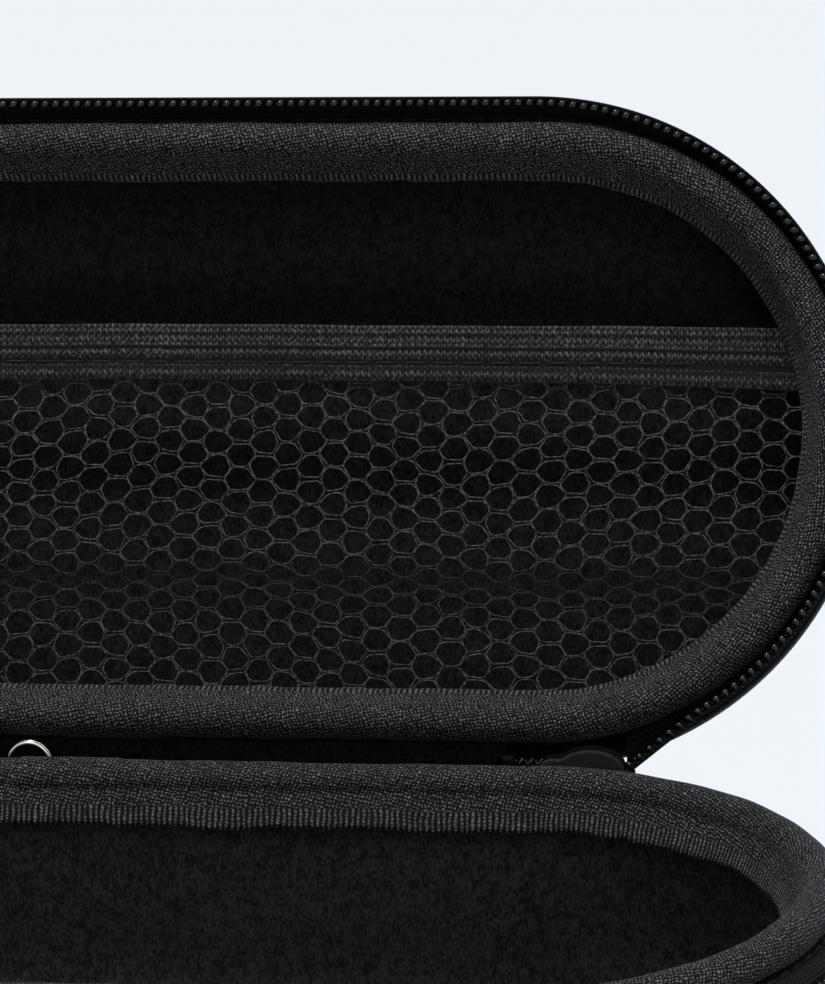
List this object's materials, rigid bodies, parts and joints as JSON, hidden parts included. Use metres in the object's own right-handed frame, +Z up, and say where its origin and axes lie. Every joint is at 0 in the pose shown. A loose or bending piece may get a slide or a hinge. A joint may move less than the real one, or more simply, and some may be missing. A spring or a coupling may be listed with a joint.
{
  "type": "swimming goggle case",
  "caption": "Soft-shell zip case with round ends, lined inside, with a hinged lid that holds an elastic net pocket; shown open",
  "frame": {"origin": "centre of the base's flat underside", "axes": "+X along the case, +Y to the back, where the hinge is, +Z up"},
  "size_m": [0.1906, 0.1176, 0.1058],
  "materials": {
    "printed_cloth": "printed polyester cloth, satin",
    "foam": "moulded foam, matt",
    "pile_lining": "short pile, matt",
    "cord": "plain cord",
    "binding": "ribbed woven tape",
    "thread": "thread",
    "zip_tape": "woven tape",
    "coil": "glossy nylon",
    "stop": "black painted metal",
    "web": "woven nylon",
    "slider": "matt dark grey paint",
    "ring": "polished nickel",
    "elastic": "knitted elastic",
    "net": "knitted net"
  },
  "bodies": {
    "base": {"base_cover": "printed_cloth", "base_shell": "foam", "base_lining": "pile_lining", "base_rim_cord": "cord", "base_binding": "binding", "base_stitching": "thread", "base_zip_tape": "zip_tape", "base_zip_coil": "coil", "base_zip_stop": "stop", "hinge_gusset": "pile_lining", "hinge_web": "web", "ring_loop": "web", "zip_end_box": "stop", "zip_chain_end": "coil"},
    "lid": {"lid_cover": "printed_cloth", "lid_shell": "foam", "lid_lining": "pile_lining", "lid_rim_cord": "cord", "lid_binding": "binding", "lid_stitching": "thread", "lid_zip_tape": "zip_tape", "lid_zip_coil": "coil", "lid_zip_stop": "stop", "pocket_elastic": "elastic", "pocket_net": "net", "pocket_stitching": "thread"},
    "slider": {"slider_body": "slider", "slider_bail": "slider"},
    "pull": {"zip_pull": "slider"},
    "ring": {"split_ring": "ring"}
  },
  "joints": [
    {"name": "lid_hinge", "type": "hinge", "parent": "base", "child": "lid", "pos_m": [0, 0.0368, 0.0347], "axis": [1, 0, 0], "range_deg": [0, 110.5], "deforming": ["hinge_gusset", "hinge_web"]},
    {"name": "slider_run", "type": "slide", "parent": "base", "child": "slider", "axis": [-1, 0, 0], "range_m": [0, 0.0025]},
    {"name": "pull_swing", "type": "hinge", "parent": "slider", "child": "pull", "pos_m": [0.06258, 0.0399, 0.0302], "axis": [1, 0, 0], "range_deg": [0, 70]},
    {"name": "ring_swing", "type": "hinge", "parent": "base", "child": "ring", "pos_m": [-0.0029, 0.0369, 0.0297], "axis": [1, 0, 0], "range_deg": [-12, 4]}
  ]
}
